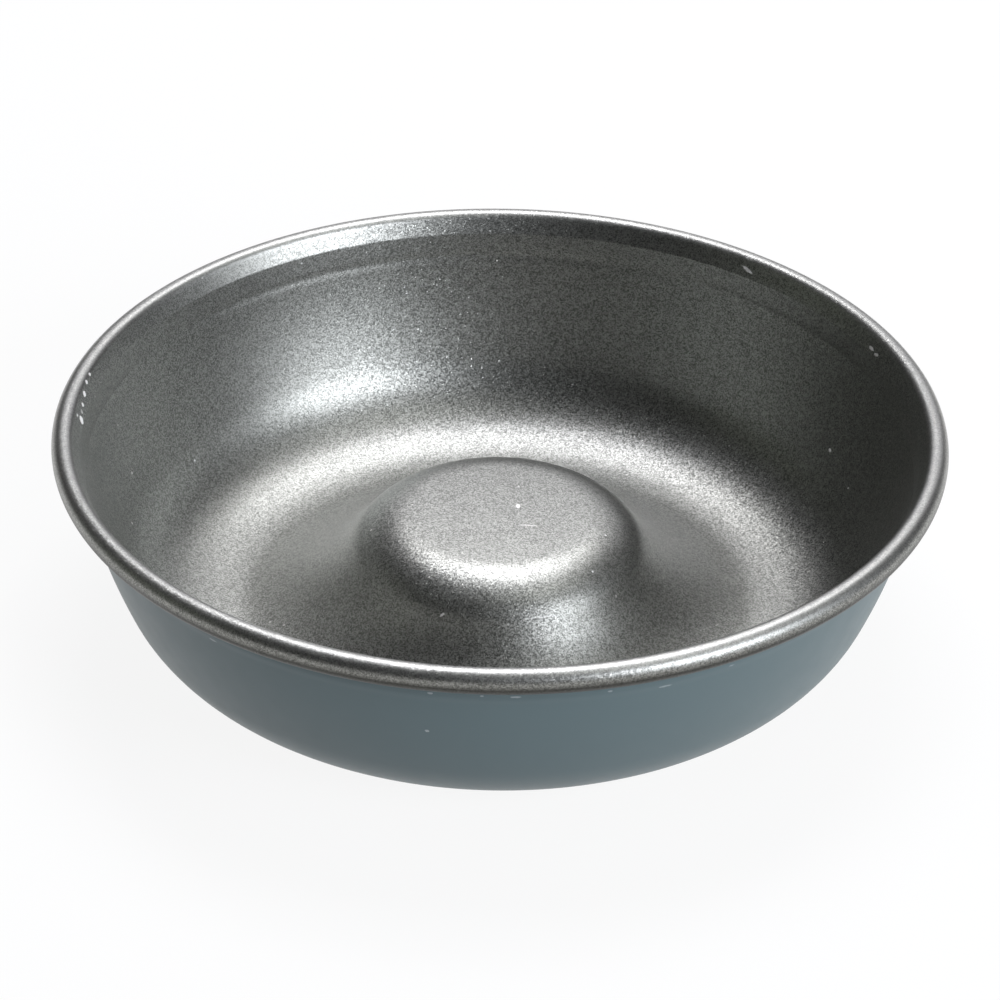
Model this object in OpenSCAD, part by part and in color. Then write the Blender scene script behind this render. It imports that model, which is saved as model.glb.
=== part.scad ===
// Savarin mould: a shallow ring mould with a raised centre, pressed as one
// piece from a round of thin sheet steel, with its edge rolled over and under
// into a hollow bead.
// The origin is the centre of the ring that the mould stands on, +Z is up, and
// the whole form is one sheet section spun about the Z axis.

/* [Sheet] */
// Thickness of the coated sheet
sheet_t = 0.5; // [0.3:0.05:0.7]

/* [Rim] */
// Diameter over the outside of the rolled rim
rim_d = 100; // [94:1:130]
// Height from the resting plane to the top of the rim
mould_h = 25.25; // [22:0.05:29]
// Radius of the rim's crest on its outer side
crest_out_r = 1.4; // [1.1:0.05:2]
// Radius of the rim's crest on its inner side
crest_in_r = 1.1; // [0.8:0.05:1.6]
// Radius of the curl below the rim's widest line
curl_r = 1.55; // [1.2:0.05:2]
// Clearance between the trimmed edge under the curl and the wall
edge_gap = 0.25; // [0.1:0.05:0.5]

/* [Neck] */
// Lean of the flank under the crest, in degrees off vertical
flank_a = 26; // [15:1:35]
// Straight length of that flank
flank_l = 1.7; // [1:0.1:3]
// Bend radius on the outside where the flank meets the wall
neck_r = 0.4; // [0.2:0.1:1.5]

/* [Wall] */
// Lean of the wall at its top, in degrees off vertical
wall_top_a = 9.5; // [5:0.5:13]
// Lean of the wall where the trough begins, in degrees off vertical
wall_foot_a = 22.5; // [20:0.5:27]

/* [Trough] */
// Radius of the trough's side under the wall, on the underside
trough_side_r = 12.6; // [11:0.1:13.5]
// Radius of the trough's bottom, on the underside
trough_low_r = 15.2; // [13:0.1:18]
// Slope at which the bottom's radius gives way to the side's, in degrees from level
trough_low_a = 26; // [15:1:40]
// Width of the flat ring that the mould stands on
rest_w = 0.8; // [0.4:0.1:2]

/* [Centre boss] */
// Height of the boss above the resting plane
boss_h = 13.1; // [10:0.1:16]
// Radius of the very shallow dome of the boss's top, on the upper face
boss_top_r = 300; // [150:10:600]
// Radius of the boss's rounded shoulder, on the upper face
boss_edge_r = 8.5; // [5:0.1:11]
// Radius of the boss's flared side, on the upper face
boss_side_r = 20.4; // [16:0.1:24]
// Radius of the bend between the flared side and the resting ring, on the upper face
boss_foot_r = 3; // [2:0.1:8]
// Slope of the flared side where that bend begins, in degrees from level
boss_foot_a = 14; // [5:1:20]

/* [Hidden] */
$fn = 180;
// Largest gap between a drawn arc and its true circle
arc_sag = 0.01;

// Rim and neck, worked out from the crest downwards
crest_r = rim_d / 2 - crest_out_r;
crest_in_c = [crest_r, mould_h - crest_in_r];
crest_out_c = [crest_r, mould_h - crest_out_r];
curl_c = [rim_d / 2 - curl_r, mould_h - crest_out_r];
flank_top = on_circle(crest_in_c, crest_in_r - sheet_t, 180 - flank_a);
flank_foot = flank_top - flank_l * [sin(flank_a), cos(flank_a)];
neck_c = flank_foot + neck_r * [cos(flank_a), -sin(flank_a)];
wall_top = on_circle(neck_c, neck_r, 180 - wall_top_a);

// The curl turns until its trimmed edge stands its clearance off the wall
curl_reach = curl_c[0] - wall_top[0] - edge_gap;
curl_turn = acos(-min(1, curl_reach / curl_r));

// The wall stands on the trough's side, and the side on the bottom's radius
side_c_z = trough_low_r - (trough_low_r - trough_side_r) * cos(trough_low_a);
wall_foot_z = side_c_z - trough_side_r * sin(wall_foot_a);
wall_r = (wall_top[1] - wall_foot_z) / (sin(wall_foot_a) - sin(wall_top_a));
wall_c = wall_top - wall_r * [cos(wall_top_a), -sin(wall_top_a)];
trough_side_c = [wall_c[0] + (wall_r - trough_side_r) * cos(wall_foot_a), side_c_z];
trough_low_c = [trough_side_c[0] - (trough_low_r - trough_side_r) * sin(trough_low_a), trough_low_r];

// The boss is worked out from the resting ring inwards, as far as its flared side
boss_foot_c = [trough_low_c[0] - rest_w, sheet_t + boss_foot_r];
boss_side_c = boss_foot_c + (boss_side_r - boss_foot_r) * [sin(boss_foot_a), cos(boss_foot_a)];

// The shoulder touches the flared side below it and the shallow dome above it
dome_c = [0, boss_h - boss_top_r];
dome_off = boss_side_c - dome_c;
dome_reach = boss_top_r - boss_edge_r;
side_reach = boss_side_r + boss_edge_r;
dome_lean = atan2(dome_off[0], dome_off[1]);
dome_turn = acos((dome_reach * dome_reach + dome_off * dome_off - side_reach * side_reach)
    / (2 * dome_reach * norm(dome_off)));
crown_a = dome_lean - dome_turn;
boss_edge_c = dome_c + dome_reach * [sin(crown_a), cos(crown_a)];
side_off = boss_side_c - boss_edge_c;
boss_side_a = atan2(side_off[0], side_off[1]);

// Point at angle a on a circle
function on_circle(centre, r, a) = centre + r * [cos(a), sin(a)];

// Points of an arc from angle a0 to angle a1; first = 1 leaves out the point it shares with the arc before it
function arc(centre, r, a0, a1, first = 0) =
    let (steps = ceil(abs(a1 - a0) / (2 * acos(1 - arc_sag / r))))
    [for (i = [first : steps]) on_circle(centre, r, a0 + i * (a1 - a0) / steps)];

// The same points from last to first
function reversed(points) = [for (i = [len(points) - 1 : -1 : 0]) points[i]];

// One line of the sheet's section at a depth below its upper face, from the axis out to the trimmed edge.
// Straight stretches run between the arcs at the resting ring and the flank.
function sheet_line(depth) = concat(
    arc(dome_c, boss_top_r - depth, 90, 90 - crown_a),
    arc(boss_edge_c, boss_edge_r - depth, 90 - crown_a, 90 - boss_side_a, 1),
    arc(boss_side_c, boss_side_r + depth, 270 - boss_side_a, 270 - boss_foot_a, 1),
    arc(boss_foot_c, boss_foot_r + depth, 270 - boss_foot_a, 270, 1),
    arc(trough_low_c, trough_low_r - sheet_t + depth, 270, 270 + trough_low_a),
    arc(trough_side_c, trough_side_r - sheet_t + depth, 270 + trough_low_a, 360 - wall_foot_a, 1),
    arc(wall_c, wall_r - sheet_t + depth, 360 - wall_foot_a, 360 - wall_top_a, 1),
    arc(neck_c, neck_r + sheet_t - depth, 180 - wall_top_a, 180 - flank_a, 1),
    arc(crest_in_c, crest_in_r - depth, 180 - flank_a, 90),
    arc(crest_out_c, crest_out_r - depth, 90, 0, 1),
    arc(curl_c, curl_r - depth, 0, -curl_turn, 1)
);

// The pressed shell: the sheet's section spun about the axis
module mould_shell() {
    color("slategray")
        rotate_extrude()
            polygon(concat(sheet_line(0), reversed(sheet_line(sheet_t))));
}

mould_shell();
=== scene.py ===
import math
import bpy
from mathutils import Matrix, Vector


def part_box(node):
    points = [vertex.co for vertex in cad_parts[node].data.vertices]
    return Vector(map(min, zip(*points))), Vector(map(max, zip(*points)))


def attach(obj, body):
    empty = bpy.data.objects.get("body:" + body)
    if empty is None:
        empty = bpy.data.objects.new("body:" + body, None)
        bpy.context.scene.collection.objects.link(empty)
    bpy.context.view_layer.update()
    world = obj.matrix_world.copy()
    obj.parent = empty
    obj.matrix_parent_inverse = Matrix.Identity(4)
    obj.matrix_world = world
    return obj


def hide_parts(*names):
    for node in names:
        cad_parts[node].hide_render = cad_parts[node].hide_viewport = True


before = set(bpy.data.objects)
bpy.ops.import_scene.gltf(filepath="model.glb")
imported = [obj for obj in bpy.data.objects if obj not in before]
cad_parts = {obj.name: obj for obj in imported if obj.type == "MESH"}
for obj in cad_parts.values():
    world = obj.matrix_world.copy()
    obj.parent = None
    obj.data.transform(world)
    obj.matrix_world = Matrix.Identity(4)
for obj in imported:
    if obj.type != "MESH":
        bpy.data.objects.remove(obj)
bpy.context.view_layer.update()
MM = 0.001

# The mould is one round of thin sheet steel, pressed into a ring trough with a raised
# centre and rolled over and under at its edge. Its upper face is drawn here as one line,
# spun about the axis and given the sheet's thickness, so both skins are true.
shell_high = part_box("mould_shell")[1]
rim_r = shell_high.x
mould_h = shell_high.z
sheet_t = 0.5 * MM
crest_out_r = 1.4 * MM
crest_in_r = 1.1 * MM
curl_r = 1.55 * MM
edge_gap = 0.25 * MM
flank_a = math.radians(26)
flank_l = 1.7 * MM
neck_r = 0.4 * MM
wall_top_a = math.radians(9.5)
wall_foot_a = math.radians(22.5)
trough_side_r = 12.6 * MM
trough_low_r = 15.2 * MM
trough_low_a = math.radians(26)
rest_w = 0.133 * MM
boss_h = 13.1 * MM
boss_top_r = 300 * MM
boss_edge_r = 8.5 * MM
boss_side_r = 20.4 * MM
boss_foot_r = 8 * MM
boss_foot_a = math.radians(16.601)
ring_z = 20.25 * MM
ring_w = 0.5 * MM
ring_out = 0.05 * MM
ring_reach = 1.5 * MM
ring_point_gap = 0.15 * MM
weld_gap = 0.002 * MM
smooth_under_a = math.radians(40)
spin_steps = 288
bend_step = math.radians(7)
fine_step = bend_step / 2
flare_step = bend_step / 3
wall_step = bend_step / 6
dome_parts = 4
quarter = math.pi / 2


def leaning(a):
    """The direction that leans out from the axis by an angle off straight up."""
    return Vector((math.sin(a), 0, math.cos(a)))


def arc(centre, r, a0, a1, step=bend_step, first=0):
    """Points along an arc; its angles count from level, and first = 1 leaves out its start."""
    steps = math.ceil(abs(a1 - a0) / step)
    return [centre + r * leaning(quarter - a0 - (a1 - a0) * i / steps)
            for i in range(first, steps + 1)]


# Rim, neck and wall, from the crest downwards
crest_in_c = Vector((rim_r - crest_out_r, 0, mould_h - crest_in_r))
crest_out_c = Vector((rim_r - crest_out_r, 0, mould_h - crest_out_r))
curl_c = Vector((rim_r - curl_r, 0, mould_h - crest_out_r))
flank_top = crest_in_c + (crest_in_r - sheet_t) * leaning(flank_a - quarter)
flank_foot = flank_top - flank_l * leaning(flank_a)
neck_c = flank_foot - neck_r * leaning(flank_a - quarter)
wall_top = neck_c + neck_r * leaning(wall_top_a - quarter)
side_c_z = trough_low_r - (trough_low_r - trough_side_r) * math.cos(trough_low_a)
wall_foot_z = side_c_z - trough_side_r * math.sin(wall_foot_a)
wall_r = (wall_top.z - wall_foot_z) / (math.sin(wall_foot_a) - math.sin(wall_top_a))
wall_c = wall_top + wall_r * leaning(wall_top_a - quarter)
curl_turn = math.acos(-min(1, (curl_c.x - wall_top.x - edge_gap) / curl_r))

# Trough and boss, from the wall inwards; the shoulder touches the flared side and the dome
side_c_x = wall_c.x + (wall_r - trough_side_r) * math.cos(wall_foot_a)
side_c = Vector((side_c_x, 0, side_c_z))
low_c_x = side_c.x - (trough_low_r - trough_side_r) * math.sin(trough_low_a)
low_c = Vector((low_c_x, 0, trough_low_r))
foot_c = Vector((low_c.x - rest_w, 0, sheet_t + boss_foot_r))
flare_c = foot_c + (boss_side_r - boss_foot_r) * leaning(boss_foot_a)
dome_c = Vector((0, 0, boss_h - boss_top_r))
dome_off = flare_c - dome_c
dome_reach = boss_top_r - boss_edge_r
side_reach = boss_side_r + boss_edge_r
dome_turn = math.acos((dome_reach ** 2 + dome_off.length_squared - side_reach ** 2)
                      / (2 * dome_reach * dome_off.length))
crown_a = math.atan2(dome_off.x, dome_off.z) - dome_turn
edge_c = dome_c + dome_reach * leaning(crown_a)
boss_side_a = math.atan2(flare_c.x - edge_c.x, flare_c.z - edge_c.z)

# The faint ring that the press tool leaves round the wall is a swelling of a few hundredths
# of a millimetre
wall_in_r = wall_r - sheet_t
ring_a = 4 * quarter - math.asin((wall_c.z - ring_z) / wall_in_r)
ring_half = ring_reach / wall_in_r
ring_step = ring_point_gap / wall_in_r
ring = [p + ring_out * math.exp(-((p.z - ring_z) / ring_w) ** 2) * leaning(quarter)
        for p in arc(wall_c, wall_in_r, ring_a - ring_half, ring_a + ring_half, ring_step)]

# The whole upper face, from the middle of the boss to the trimmed edge
upper_line = arc(dome_c, boss_top_r, quarter, quarter - crown_a, crown_a / dome_parts)
upper_line += arc(edge_c, boss_edge_r, quarter - crown_a, quarter - boss_side_a, fine_step, 1)
upper_line += arc(flare_c, boss_side_r,
                  3 * quarter - boss_side_a, 3 * quarter - boss_foot_a, flare_step, 1)
upper_line += arc(foot_c, boss_foot_r, 3 * quarter - boss_foot_a, 3 * quarter, fine_step, 1)
upper_line += arc(low_c, trough_low_r - sheet_t,
                  3 * quarter, 3 * quarter + trough_low_a, fine_step)
upper_line += arc(side_c, trough_side_r - sheet_t,
                  3 * quarter + trough_low_a, 4 * quarter - wall_foot_a, fine_step, 1)
upper_line += arc(wall_c, wall_in_r,
                  4 * quarter - wall_foot_a, ring_a - ring_half, wall_step, 1)[:-1]
upper_line += ring
upper_line += arc(wall_c, wall_in_r, ring_a + ring_half, 4 * quarter - wall_top_a, wall_step, 1)
upper_line += arc(neck_c, neck_r + sheet_t,
                  2 * quarter - wall_top_a, 2 * quarter - flank_a, fine_step, 1)
upper_line += arc(crest_in_c, crest_in_r, 2 * quarter - flank_a, quarter)
upper_line += arc(crest_out_c, crest_out_r, quarter, 0, bend_step, 1)
upper_line += arc(curl_c, curl_r, 0, -curl_turn, bend_step, 1)

bpy.ops.object.select_all(action="DESELECT")
bpy.ops.mesh.primitive_plane_add(size=MM, location=upper_line[0])
shell = bpy.context.object
shell.name = "mould_shell_sheet"
bpy.ops.object.transform_apply(location=True, rotation=True, scale=True)
bpy.ops.object.mode_set(mode="EDIT")
bpy.ops.mesh.merge(type="CENTER")
for start, end in zip(upper_line, upper_line[1:]):
    bpy.ops.mesh.extrude_region_move(TRANSFORM_OT_translate={"value": end - start})
bpy.ops.mesh.select_all(action="SELECT")
bpy.ops.mesh.spin(steps=spin_steps, angle=4 * quarter, center=(0, 0, 0), axis=(0, 0, 1))
bpy.ops.mesh.select_all(action="SELECT")
bpy.ops.mesh.remove_doubles(threshold=weld_gap)
bpy.ops.mesh.normals_make_consistent(inside=False)
bpy.ops.object.mode_set(mode="OBJECT")

# An open sheet has no inside, so its normals are turned up by the boss's own top
top_face = min(shell.data.polygons, key=lambda p: p.center.xy.length)
if top_face.normal.z < 0:
    shell.data.flip_normals()

# Three finishes, in the order that the sheet's thickness takes them: the coating is on the
# upper face, the lacquer on the underside, and the cut edge is bare
coat = bpy.data.materials.new("flake_coating")
lacquer = bpy.data.materials.new("outside_lacquer")
cut_steel = bpy.data.materials.new("cut_edge_steel")
for finish in (coat, lacquer, cut_steel):
    finish.use_nodes = True
    shell.data.materials.append(finish)

wall = shell.modifiers.new("sheet", "SOLIDIFY")
wall.thickness = sheet_t
wall.offset = -1
wall.use_even_offset = True
wall.use_quality_normals = True
wall.material_offset = 1
wall.material_offset_rim = 2
bpy.ops.object.modifier_apply(modifier="sheet")
bpy.ops.object.shade_smooth_by_angle(angle=smooth_under_a)

# Flaws that both finishes share. Spray ripple is the slow unevenness of a sprayed and baked
# film; specks are the odd pale grains that settle in it; a mark is one chip or scratch.
ripple_size = 2.5 * MM
speck_spacing = 1.5 * MM
speck_r = 0.09
mark_ragged_size = 0.3 * MM
mark_full_until = 1.35
mark_gone_from = 1.6

ripple = bpy.data.node_groups.new("spray_ripple", "ShaderNodeTree")
ripple.interface.new_socket("Vector", in_out="INPUT", socket_type="NodeSocketVector")
ripple.interface.new_socket("Value", in_out="OUTPUT", socket_type="NodeSocketFloat")
nodes, links = ripple.nodes, ripple.links
taken, given = nodes.new("NodeGroupInput"), nodes.new("NodeGroupOutput")
waves = nodes.new("ShaderNodeTexNoise")
waves.inputs["Scale"].default_value = 1 / ripple_size
waves.inputs["Detail"].default_value = 2
links.new(taken.outputs["Vector"], waves.inputs["Vector"])
links.new(waves.outputs["Fac"], given.inputs["Value"])

specks = bpy.data.node_groups.new("settled_specks", "ShaderNodeTree")
specks.interface.new_socket("Vector", in_out="INPUT", socket_type="NodeSocketVector")
specks.interface.new_socket("Share", in_out="INPUT", socket_type="NodeSocketFloat")
specks.interface.new_socket("Mask", in_out="OUTPUT", socket_type="NodeSocketFloat")
nodes, links = specks.nodes, specks.links
taken, given = nodes.new("NodeGroupInput"), nodes.new("NodeGroupOutput")
grains = nodes.new("ShaderNodeTexVoronoi")
grains.inputs["Scale"].default_value = 1 / speck_spacing
near = nodes.new("ShaderNodeMath")
near.operation = "LESS_THAN"
near.inputs[1].default_value = speck_r
lot = nodes.new("ShaderNodeSeparateColor")
chosen = nodes.new("ShaderNodeMath")
chosen.operation = "LESS_THAN"
both = nodes.new("ShaderNodeMath")
both.operation = "MULTIPLY"
links.new(taken.outputs["Vector"], grains.inputs["Vector"])
links.new(grains.outputs["Distance"], near.inputs[0])
links.new(grains.outputs["Color"], lot.inputs["Color"])
links.new(lot.outputs["Red"], chosen.inputs[0])
links.new(taken.outputs["Share"], chosen.inputs[1])
links.new(near.outputs["Value"], both.inputs[0])
links.new(chosen.outputs["Value"], both.inputs[1])
links.new(both.outputs["Value"], given.inputs["Mask"])

mark = bpy.data.node_groups.new("chip_or_scratch", "ShaderNodeTree")
for name, kind in (("Vector", "Vector"), ("Centre", "Vector"), ("Heading", "Vector"),
                   ("Half Length", "Float"), ("Half Width", "Float"), ("Strength", "Float"),
                   ("Raggedness", "Float")):
    mark.interface.new_socket(name, in_out="INPUT", socket_type="NodeSocket" + kind)
mark.interface.new_socket("Mask", in_out="OUTPUT", socket_type="NodeSocketFloat")
nodes, links = mark.nodes, mark.links
taken, given = nodes.new("NodeGroupInput"), nodes.new("NodeGroupOutput")
offset = nodes.new("ShaderNodeVectorMath")
offset.operation = "SUBTRACT"
along = nodes.new("ShaderNodeVectorMath")
along.operation = "DOT_PRODUCT"
foot = nodes.new("ShaderNodeVectorMath")
foot.operation = "SCALE"
across = nodes.new("ShaderNodeVectorMath")
across.operation = "SUBTRACT"
across_size = nodes.new("ShaderNodeVectorMath")
across_size.operation = "LENGTH"
long_share = nodes.new("ShaderNodeMath")
long_share.operation = "DIVIDE"
wide_share = nodes.new("ShaderNodeMath")
wide_share.operation = "DIVIDE"
pair = nodes.new("ShaderNodeCombineXYZ")
reach = nodes.new("ShaderNodeVectorMath")
reach.operation = "LENGTH"
uneven = nodes.new("ShaderNodeMath")
uneven.operation = "ADD"
inside = nodes.new("ShaderNodeMapRange")
inside.inputs["From Min"].default_value = mark_full_until
inside.inputs["From Max"].default_value = mark_gone_from
inside.inputs["To Min"].default_value = 1
inside.inputs["To Max"].default_value = 0
faded = nodes.new("ShaderNodeMath")
faded.operation = "MULTIPLY"
links.new(taken.outputs["Vector"], offset.inputs[0])
links.new(taken.outputs["Centre"], offset.inputs[1])
links.new(offset.outputs["Vector"], along.inputs[0])
links.new(taken.outputs["Heading"], along.inputs[1])
links.new(taken.outputs["Heading"], foot.inputs[0])
links.new(along.outputs["Value"], foot.inputs["Scale"])
links.new(offset.outputs["Vector"], across.inputs[0])
links.new(foot.outputs["Vector"], across.inputs[1])
links.new(across.outputs["Vector"], across_size.inputs[0])
links.new(along.outputs["Value"], long_share.inputs[0])
links.new(taken.outputs["Half Length"], long_share.inputs[1])
links.new(across_size.outputs["Value"], wide_share.inputs[0])
links.new(taken.outputs["Half Width"], wide_share.inputs[1])
links.new(long_share.outputs["Value"], pair.inputs["X"])
links.new(wide_share.outputs["Value"], pair.inputs["Y"])
links.new(pair.outputs["Vector"], reach.inputs[0])
links.new(reach.outputs["Value"], uneven.inputs[0])
links.new(taken.outputs["Raggedness"], uneven.inputs[1])
links.new(uneven.outputs["Value"], inside.inputs["Value"])
links.new(inside.outputs["Result"], faded.inputs[0])
links.new(taken.outputs["Strength"], faded.inputs[1])
links.new(faded.outputs["Value"], given.inputs["Mask"])


def add_marks(tree, vector, marks):
    """One mark for each row: centre, heading, half length and width in millimetres, strength."""
    ragged = tree.nodes.new("ShaderNodeTexNoise")
    ragged.inputs["Scale"].default_value = 1 / mark_ragged_size
    tree.links.new(vector, ragged.inputs["Vector"])
    joined = None
    for centre, heading, half_length, half_width, strength in marks:
        one = tree.nodes.new("ShaderNodeGroup")
        one.node_tree = mark
        one.inputs["Centre"].default_value = MM * Vector(centre)
        one.inputs["Heading"].default_value = Vector(heading).normalized()
        one.inputs["Half Length"].default_value = half_length * MM
        one.inputs["Half Width"].default_value = half_width * MM
        one.inputs["Strength"].default_value = strength
        tree.links.new(vector, one.inputs["Vector"])
        tree.links.new(ragged.outputs["Fac"], one.inputs["Raggedness"])
        if joined is None:
            joined = one.outputs["Mask"]
            continue
        wider = tree.nodes.new("ShaderNodeMath")
        wider.operation = "MAXIMUM"
        tree.links.new(joined, wider.inputs[0])
        tree.links.new(one.outputs["Mask"], wider.inputs[1])
        joined = wider.outputs["Value"]
    return joined


# Grey flake coating: a dark baked resin full of fine metal flakes, sprayed inside and over
# the rim. Each flake lies at its own slight tilt under the clear top of the resin, which
# gives the mottled sparkle.
flake_size = 0.13 * MM
flake_dark = (0.05, 0.053, 0.041, 1)
flake_light = (0.415, 0.415, 0.385, 1)
flake_lean = 0.05
steep_lean = 0.4
steep_rarity = 8
top_roughness = 0.42
top_ior = 1.8
flake_roughness = (0.37, 0.45)
nodes, links = coat.node_tree.nodes, coat.node_tree.links
coat_bsdf = nodes["Principled BSDF"]
coat_bsdf.inputs["Coat Roughness"].default_value = top_roughness
coat_bsdf.inputs["Coat IOR"].default_value = top_ior
place = nodes.new("ShaderNodeTexCoord")
flakes = nodes.new("ShaderNodeTexVoronoi")
flakes.inputs["Scale"].default_value = 1 / flake_size
links.new(place.outputs["Object"], flakes.inputs["Vector"])
flake_parts = nodes.new("ShaderNodeSeparateColor")
links.new(flakes.outputs["Color"], flake_parts.inputs["Color"])

tint = nodes.new("ShaderNodeMix")
tint.data_type = "RGBA"
tint.inputs["A"].default_value = flake_dark
tint.inputs["B"].default_value = flake_light
links.new(flake_parts.outputs["Red"], tint.inputs["Factor"])

# A few flakes in every hundred stand much steeper than the rest
centred = nodes.new("ShaderNodeVectorMath")
centred.operation = "SUBTRACT"
centred.inputs[1].default_value = (0.5, 0.5, 0.5)
links.new(flakes.outputs["Color"], centred.inputs[0])
again = nodes.new("ShaderNodeTexWhiteNoise")
again.noise_dimensions = "3D"
links.new(flakes.outputs["Position"], again.inputs["Vector"])
rare = nodes.new("ShaderNodeMath")
rare.operation = "POWER"
rare.inputs[1].default_value = steep_rarity
links.new(again.outputs["Value"], rare.inputs[0])
steep = nodes.new("ShaderNodeMath")
steep.operation = "MULTIPLY_ADD"
steep.inputs[1].default_value = steep_lean
steep.inputs[2].default_value = flake_lean
links.new(rare.outputs["Value"], steep.inputs[0])
tilt = nodes.new("ShaderNodeVectorMath")
tilt.operation = "SCALE"
links.new(centred.outputs["Vector"], tilt.inputs[0])
links.new(steep.outputs["Value"], tilt.inputs["Scale"])
skin = nodes.new("ShaderNodeNewGeometry")
tilted = nodes.new("ShaderNodeVectorMath")
tilted.operation = "ADD"
links.new(skin.outputs["Normal"], tilted.inputs[0])
links.new(tilt.outputs["Vector"], tilted.inputs[1])
facing = nodes.new("ShaderNodeVectorMath")
facing.operation = "NORMALIZE"
links.new(tilted.outputs["Vector"], facing.inputs[0])
links.new(facing.outputs["Vector"], coat_bsdf.inputs["Normal"])

film = nodes.new("ShaderNodeGroup")
film.node_tree = ripple
links.new(place.outputs["Object"], film.inputs["Vector"])
sheen = nodes.new("ShaderNodeMapRange")
sheen.inputs["To Min"].default_value = flake_roughness[0]
sheen.inputs["To Max"].default_value = flake_roughness[1]
links.new(film.outputs["Value"], sheen.inputs["Value"])
links.new(sheen.outputs["Result"], coat_bsdf.inputs["Roughness"])

# Painted highlight: the rolled edge's crest is painted lighter so its highlight shows brighter
# and wider, and its inner flank a little lighter for the light it catches
painted_highlight_tint = (0.42, 0.415, 0.4, 1)
flank_light_r = (rim_r - 3.75 * MM, rim_r - 3.5 * MM)
flank_light = 0.08
crest_highlight_z = (mould_h - 1.1 * MM, mould_h - 0.3 * MM)
crest_highlight = 0.4
spread = nodes.new("ShaderNodeVectorMath")
spread.operation = "MULTIPLY"
spread.inputs[1].default_value = (1, 1, 0)
links.new(place.outputs["Object"], spread.inputs[0])
radius = nodes.new("ShaderNodeVectorMath")
radius.operation = "LENGTH"
links.new(spread.outputs["Vector"], radius.inputs[0])
flank = nodes.new("ShaderNodeMapRange")
flank.inputs["From Min"].default_value = flank_light_r[0]
flank.inputs["From Max"].default_value = flank_light_r[1]
flank.inputs["To Max"].default_value = flank_light
links.new(radius.outputs["Value"], flank.inputs["Value"])
height = nodes.new("ShaderNodeSeparateXYZ")
links.new(place.outputs["Object"], height.inputs["Vector"])
crest = nodes.new("ShaderNodeMapRange")
crest.inputs["From Min"].default_value = crest_highlight_z[0]
crest.inputs["From Max"].default_value = crest_highlight_z[1]
crest.inputs["To Max"].default_value = crest_highlight
links.new(height.outputs["Z"], crest.inputs["Value"])
painted_edge_light = nodes.new("ShaderNodeMath")
painted_edge_light.operation = "MAXIMUM"
links.new(flank.outputs["Result"], painted_edge_light.inputs[0])
links.new(crest.outputs["Result"], painted_edge_light.inputs[1])
lit_edge_tint = nodes.new("ShaderNodeMix")
lit_edge_tint.data_type = "RGBA"
lit_edge_tint.inputs["B"].default_value = painted_highlight_tint
links.new(painted_edge_light.outputs["Value"], lit_edge_tint.inputs["Factor"])
links.new(tint.outputs["Result"], lit_edge_tint.inputs["A"])

# Painted shade: under the roll the coating is painted nearly black and loses its clear top,
# standing in for the shade and dark reflections beneath the roll
painted_shade_tint = (0.02, 0.019, 0.016, 1)
shade_strength = 0.9
shade_z = (mould_h - 1.8 * MM, mould_h - 0.9 * MM)
shade_r = (rim_r - 2.1 * MM, rim_r - 1.8 * MM)
low = nodes.new("ShaderNodeMapRange")
low.inputs["From Min"].default_value = shade_z[0]
low.inputs["From Max"].default_value = shade_z[1]
low.inputs["To Min"].default_value = shade_strength
low.inputs["To Max"].default_value = 0
links.new(height.outputs["Z"], low.inputs["Value"])
outer = nodes.new("ShaderNodeMapRange")
outer.inputs["From Min"].default_value = shade_r[0]
outer.inputs["From Max"].default_value = shade_r[1]
links.new(radius.outputs["Value"], outer.inputs["Value"])
under_roll_shade = nodes.new("ShaderNodeMath")
under_roll_shade.operation = "MULTIPLY"
links.new(low.outputs["Result"], under_roll_shade.inputs[0])
links.new(outer.outputs["Result"], under_roll_shade.inputs[1])
shaded = nodes.new("ShaderNodeMix")
shaded.data_type = "RGBA"
shaded.inputs["B"].default_value = painted_shade_tint
links.new(under_roll_shade.outputs["Value"], shaded.inputs["Factor"])
links.new(lit_edge_tint.outputs["Result"], shaded.inputs["A"])
unshaded_coat = nodes.new("ShaderNodeMath")
unshaded_coat.operation = "SUBTRACT"
unshaded_coat.inputs[0].default_value = 1
links.new(under_roll_shade.outputs["Value"], unshaded_coat.inputs[1])
links.new(unshaded_coat.outputs["Value"], coat_bsdf.inputs["Coat Weight"])

# Pale specks settled in the film; like the marks below, they aren't metal
inside_speck_share = 0.008
inside_speck_tint = (0.72, 0.72, 0.7, 1)
dust = nodes.new("ShaderNodeGroup")
dust.node_tree = specks
dust.inputs["Share"].default_value = inside_speck_share
links.new(place.outputs["Object"], dust.inputs["Vector"])
speckled = nodes.new("ShaderNodeMix")
speckled.data_type = "RGBA"
speckled.inputs["B"].default_value = inside_speck_tint
links.new(dust.outputs["Mask"], speckled.inputs["Factor"])
links.new(shaded.outputs["Result"], speckled.inputs["A"])

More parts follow.
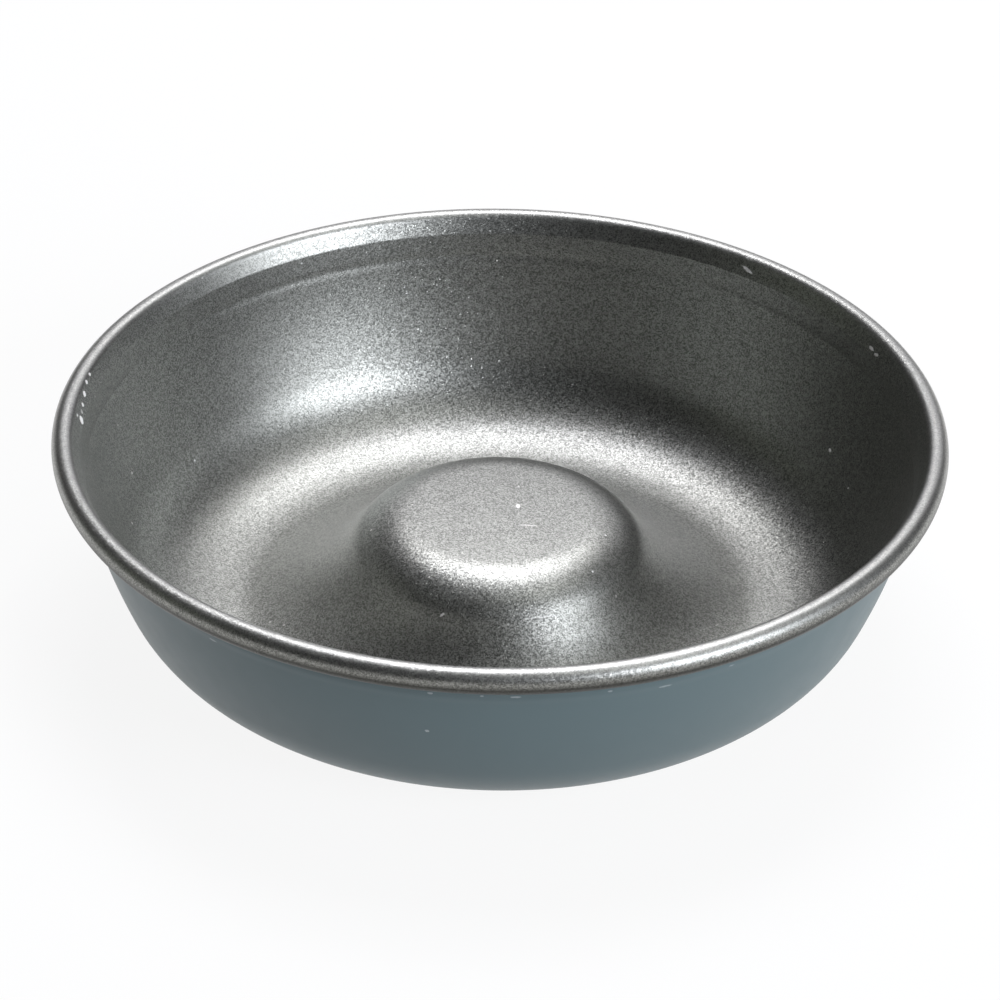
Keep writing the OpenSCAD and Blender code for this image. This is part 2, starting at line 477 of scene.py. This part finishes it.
# Wear: a row of chips down to the pale primer on the left of the lip's inner flank, two nicks
# on its far right, a chip and fine scratches on the boss and in the trough
primer = (0.85, 0.82, 0.8, 1)
inside_marks = add_marks(coat.node_tree, place.outputs["Object"], (
    ((-47.0, 1.86, 23.46), (0, 0.8, 0.6), 0.58, 0.44, 1),
    ((-47.02, 6.18, 24.25), (0, 0.9, 0.4), 0.42, 0.34, 1),
    ((-47.06, 4.42, 23.93), (0, 1, 0), 0.3, 0.27, 0.9),
    ((-46.92, 8.14, 24.66), (0, 1, 0), 0.28, 0.24, 0.9),
    ((-46.69, 9.71, 24.77), (0, 1, 0), 0.24, 0.2, 0.9),
    ((-47.07, 3.19, 23.75), (0, 1, 0), 0.32, 0.26, 0.5),
    ((-47.4, 1.54, 24.26), (0, 1, 0), 0.24, 0.2, 0.8),
    ((-46.03, 8.21, 22.69), (0, 1, 0), 0.14, 0.12, 0.7),
    ((-43.93, 11.73, 16.77), (0, 1, 0), 0.14, 0.12, 0.8),
    ((29.15, 37.2, 23.87), (0.68, -0.69, -0.26), 0.85, 0.2, 0.8),
    ((42.75, 19.7, 23.6), (0.4, -0.92, 0), 0.6, 0.2, 0.8),
    ((43.25, 18.5, 23.5), (0.3, -0.9, 0.3), 0.5, 0.18, 0.7),
    ((2.12, 1.37, 13.09), (0, 1, 0), 0.45, 0.26, 1),
    ((2.15, 5.6, 13.04), (0, 1, 0), 0.22, 0.13, 0.4),
    ((3.3, -2.6, 13.07), (1, -0.06, 0), 0.9, 0.12, 0.55),
    ((4.7, -15.7, 9.46), (0.96, 0.26, -0.03), 2.6, 0.08, 0.3),
    ((23.3, -7.1, 2.3), (0.68, 0.7, -0.23), 1, 0.07, 0.5),
    ((24.9, -5.3, 1.7), (0.5, 0.8, -0.2), 0.5, 0.07, 0.5),
    ((-6.18, -15.33, 9.34), (0.8, 0.3, 0.5), 0.4, 0.13, 0.6),
    ((13.16, -10.47, 8.92), (0.7, -0.5, 0.4), 0.3, 0.14, 0.6),
    ((-14.47, -1.35, 11.35), (0, 1, 0), 0.15, 0.14, 0.8),
    ((-25.86, -5.38, 1.33), (1, 0, 0), 0.17, 0.15, 0.6),
    ((-24.19, -6.74, 1.87), (1, 0, 0), 0.17, 0.15, 0.6),
    ((-42.42, 10.47, 11.07), (0, 1, 0), 0.17, 0.16, 0.9),
    ((-42.1, 4.95, 7.78), (0, 1, 0), 0.17, 0.16, 0.9),
    ((38.66, 19.4, 9.89), (0, 1, 0), 0.28, 0.22, 1),
))
worn = nodes.new("ShaderNodeMix")
worn.data_type = "RGBA"
worn.inputs["B"].default_value = primer
links.new(inside_marks, worn.inputs["Factor"])
links.new(speckled.outputs["Result"], worn.inputs["A"])
links.new(worn.outputs["Result"], coat_bsdf.inputs["Base Color"])
pale = nodes.new("ShaderNodeMath")
pale.operation = "MAXIMUM"
links.new(inside_marks, pale.inputs[0])
links.new(dust.outputs["Mask"], pale.inputs[1])
metal = nodes.new("ShaderNodeMath")
metal.operation = "SUBTRACT"
metal.inputs[0].default_value = 1
links.new(pale.outputs["Value"], metal.inputs[1])
links.new(metal.outputs["Value"], coat_bsdf.inputs["Metallic"])

# Blue-grey lacquer: the smooth satin finish of the sheet's underside, which is the outside
# of the mould. It is rolled on and baked, and holds no flakes.
lacquer_colour = (0.084, 0.127, 0.137, 1)
lacquer_ior = 1.5
lacquer_roughness = (0.36, 0.44)
outside_speck_share = 0.004
outside_speck_tint = (0.5, 0.5, 0.5, 1)
outside_wear_tint = (0.6, 0.62, 0.62, 1)
nodes, links = lacquer.node_tree.nodes, lacquer.node_tree.links
lacquer_bsdf = nodes["Principled BSDF"]
lacquer_bsdf.inputs["IOR"].default_value = lacquer_ior
place = nodes.new("ShaderNodeTexCoord")
film = nodes.new("ShaderNodeGroup")
film.node_tree = ripple
links.new(place.outputs["Object"], film.inputs["Vector"])
sheen = nodes.new("ShaderNodeMapRange")
sheen.inputs["To Min"].default_value = lacquer_roughness[0]
sheen.inputs["To Max"].default_value = lacquer_roughness[1]
links.new(film.outputs["Value"], sheen.inputs["Value"])
links.new(sheen.outputs["Result"], lacquer_bsdf.inputs["Roughness"])
dust = nodes.new("ShaderNodeGroup")
dust.node_tree = specks
dust.inputs["Share"].default_value = outside_speck_share
links.new(place.outputs["Object"], dust.inputs["Vector"])
speckled = nodes.new("ShaderNodeMix")
speckled.data_type = "RGBA"
speckled.inputs["A"].default_value = lacquer_colour
speckled.inputs["B"].default_value = outside_speck_tint
links.new(dust.outputs["Mask"], speckled.inputs["Factor"])

# Wear: small chips in a broken row just under the lip, where moulds are stacked, and one
# lower down
outside_marks = add_marks(lacquer.node_tree, place.outputs["Object"], (
    ((-30.02, -35.73, 19.59), (0.77, -0.64, 0), 0.5, 0.15, 0.3),
    ((-6.9, -46.37, 20.61), (1, -0.15, 0), 0.3, 0.15, 0.35),
    ((-1.52, -46.86, 20.67), (1, 0, 0), 0.2, 0.12, 0.3),
    ((1.99, -46.83, 20.57), (1, 0, 0), 0.6, 0.13, 0.35),
    ((11.72, -45.35, 20.45), (0.97, 0.25, 0), 0.3, 0.13, 0.3),
    ((17.49, -43.3, 19.74), (0.93, 0.37, 0), 0.7, 0.12, 0.3),
    ((24.5, -39.8, 20.1), (0.85, 0.52, 0), 0.4, 0.12, 0.25),
    ((-7.23, -44.83, 14.68), (1, -0.15, 0), 0.22, 0.2, 0.5),
))
worn = nodes.new("ShaderNodeMix")
worn.data_type = "RGBA"
worn.inputs["B"].default_value = outside_wear_tint
links.new(outside_marks, worn.inputs["Factor"])
links.new(speckled.outputs["Result"], worn.inputs["A"])
links.new(worn.outputs["Result"], lacquer_bsdf.inputs["Base Color"])

# Bare steel: the sheet's own cut edge, which the trimming die leaves under the curl, with
# short shear marks in it and a little tarnish.
shear_mark_size = 0.2 * MM
steel_roughness = (0.28, 0.48)
steel_clean = (0.5, 0.49, 0.47, 1)
steel_tarnished = (0.38, 0.36, 0.33, 1)
nodes, links = cut_steel.node_tree.nodes, cut_steel.node_tree.links
steel_bsdf = nodes["Principled BSDF"]
steel_bsdf.inputs["Metallic"].default_value = 1
place = nodes.new("ShaderNodeTexCoord")
shear = nodes.new("ShaderNodeTexNoise")
shear.inputs["Scale"].default_value = 1 / shear_mark_size
shear.inputs["Detail"].default_value = 3
links.new(place.outputs["Object"], shear.inputs["Vector"])
bite = nodes.new("ShaderNodeMapRange")
bite.inputs["To Min"].default_value = steel_roughness[0]
bite.inputs["To Max"].default_value = steel_roughness[1]
links.new(shear.outputs["Fac"], bite.inputs["Value"])
links.new(bite.outputs["Result"], steel_bsdf.inputs["Roughness"])
film = nodes.new("ShaderNodeGroup")
film.node_tree = ripple
links.new(place.outputs["Object"], film.inputs["Vector"])
tarnish = nodes.new("ShaderNodeMix")
tarnish.data_type = "RGBA"
tarnish.inputs["A"].default_value = steel_clean
tarnish.inputs["B"].default_value = steel_tarnished
links.new(film.outputs["Value"], tarnish.inputs["Factor"])
links.new(tarnish.outputs["Result"], steel_bsdf.inputs["Base Color"])

# The mould is a single piece, and takes the place of the drawn solid
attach(shell, "root")
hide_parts("mould_shell")

# Studio: a plain white floor under six soft lamps. The key and its skirt hang above and behind,
# a cool lamp stands low at the right with a weaker one high above it, a wide panel stands
# behind, and a faint fill at the left.
floor_half = 1.5
paper_colour = (0.85, 0.85, 0.85, 1)
paper_glow = 0.9
room_light = 0.02
bpy.ops.object.select_all(action="DESELECT")
bpy.ops.mesh.primitive_plane_add(size=2 * floor_half, location=(0, 0, 0))
floor = bpy.context.object
floor.name = "floor"
bpy.ops.object.transform_apply(location=True, rotation=True, scale=True)
paper = bpy.data.materials.new("white_paper")
paper.use_nodes = True
nodes, links = paper.node_tree.nodes, paper.node_tree.links
paper_bsdf = nodes["Principled BSDF"]
paper_bsdf.inputs["Base Color"].default_value = paper_colour
paper_bsdf.inputs["Roughness"].default_value = 1
paper_bsdf.inputs["Specular IOR Level"].default_value = 0

# To the camera and in reflections the paper is nearly its own plain white, with a faint shadow
glow = nodes.new("ShaderNodeEmission")
ray = nodes.new("ShaderNodeLightPath")
share = nodes.new("ShaderNodeMath")
share.operation = "MULTIPLY"
share.inputs[1].default_value = paper_glow
mixed = nodes.new("ShaderNodeMixShader")
seen = nodes.new("ShaderNodeMath")
seen.operation = "MAXIMUM"
mirrored = nodes.new("ShaderNodeMath")
mirrored.operation = "MAXIMUM"
links.new(ray.outputs["Is Glossy Ray"], mirrored.inputs[0])
links.new(ray.outputs["Is Transmission Ray"], mirrored.inputs[1])
links.new(ray.outputs["Is Camera Ray"], seen.inputs[0])
links.new(mirrored.outputs["Value"], seen.inputs[1])
links.new(seen.outputs["Value"], share.inputs[0])
links.new(share.outputs["Value"], mixed.inputs["Fac"])
links.new(paper_bsdf.outputs["BSDF"], mixed.inputs[1])
links.new(glow.outputs["Emission"], mixed.inputs[2])
links.new(mixed.outputs["Shader"], nodes["Material Output"].inputs["Surface"])
floor.data.materials.append(paper)

world = bpy.data.worlds.new("studio")
world.use_nodes = True
world.node_tree.nodes["Background"].inputs["Color"].default_value = (1, 1, 1, 1)
world.node_tree.nodes["Background"].inputs["Strength"].default_value = room_light
bpy.context.scene.world = world


def soft_light(name, azimuth, elevation, distance, width, height, radiance, tint):
    """A rectangular lamp facing the mould; azimuth 90 is behind it, elevation 0 is the floor."""
    a, e = math.radians(azimuth), math.radians(elevation)
    lamp = bpy.data.lights.new(name, "AREA")
    lamp.shape = "RECTANGLE"
    lamp.size = width
    lamp.size_y = height
    lamp.energy = radiance * math.pi * width * height
    lamp.color = tint
    holder = bpy.data.objects.new(name, lamp)
    holder.location = distance * Vector((math.cos(a) * math.cos(e), math.sin(a) * math.cos(e),
                                         math.sin(e)))
    holder.rotation_euler = holder.location.to_track_quat("Z", "Y").to_euler()
    bpy.context.scene.collection.objects.link(holder)


soft_light("key_above", 85.8, 68.3, 1.0, 0.51, 0.417, 7.9, (0.93, 0.935, 1))
soft_light("key_skirt", 83.5, 56, 1.0, 0.785, 0.272, 4.4, (0.99, 0.99, 1))
soft_light("cool_right", -38.1, 26.7, 1.0, 0.536, 0.486, 10.2, (0.89, 0.93, 1))
soft_light("top_right", -14.5, 68, 1.0, 0.6, 0.5, 1.4, (0.97, 1, 0.99))
soft_light("panel_behind", 80.3, 27.4, 1.2, 1.2, 0.516, 1.02, (0.94, 0.94, 1))
soft_light("fill_left", 180, 20, 1.2, 0.8, 0.6, 0.15, (0.9, 1, 0.8))

# Camera: half a metre away, a little over a third of a right angle above the floor, and
# turned slightly about its own line of sight.
target = Vector((0.067 * MM, 0, 14.74 * MM))
camera_distance = 0.5
camera_rise = math.radians(32.614)
camera_roll = math.radians(0.763)
sensor = 36
focal_px = 4428.4
picture_px = 1000
toward = Vector((0, math.cos(camera_rise), -math.sin(camera_rise)))
level_up = Vector((0, math.sin(camera_rise), math.cos(camera_rise)))
right = Vector((1, 0, 0)) * math.cos(camera_roll) + level_up * math.sin(camera_roll)
up = level_up * math.cos(camera_roll) - Vector((1, 0, 0)) * math.sin(camera_roll)
camera_data = bpy.data.cameras.new("camera")
camera_data.sensor_width = sensor
camera_data.lens = focal_px / picture_px * sensor
camera = bpy.data.objects.new("camera", camera_data)
camera.matrix_world = Matrix.Translation(target - camera_distance * toward) @ Matrix(
    (right, up, -toward)).transposed().to_4x4()
bpy.context.scene.collection.objects.link(camera)
bpy.context.scene.camera = camera
bpy.context.scene.view_settings.view_transform = "Standard"
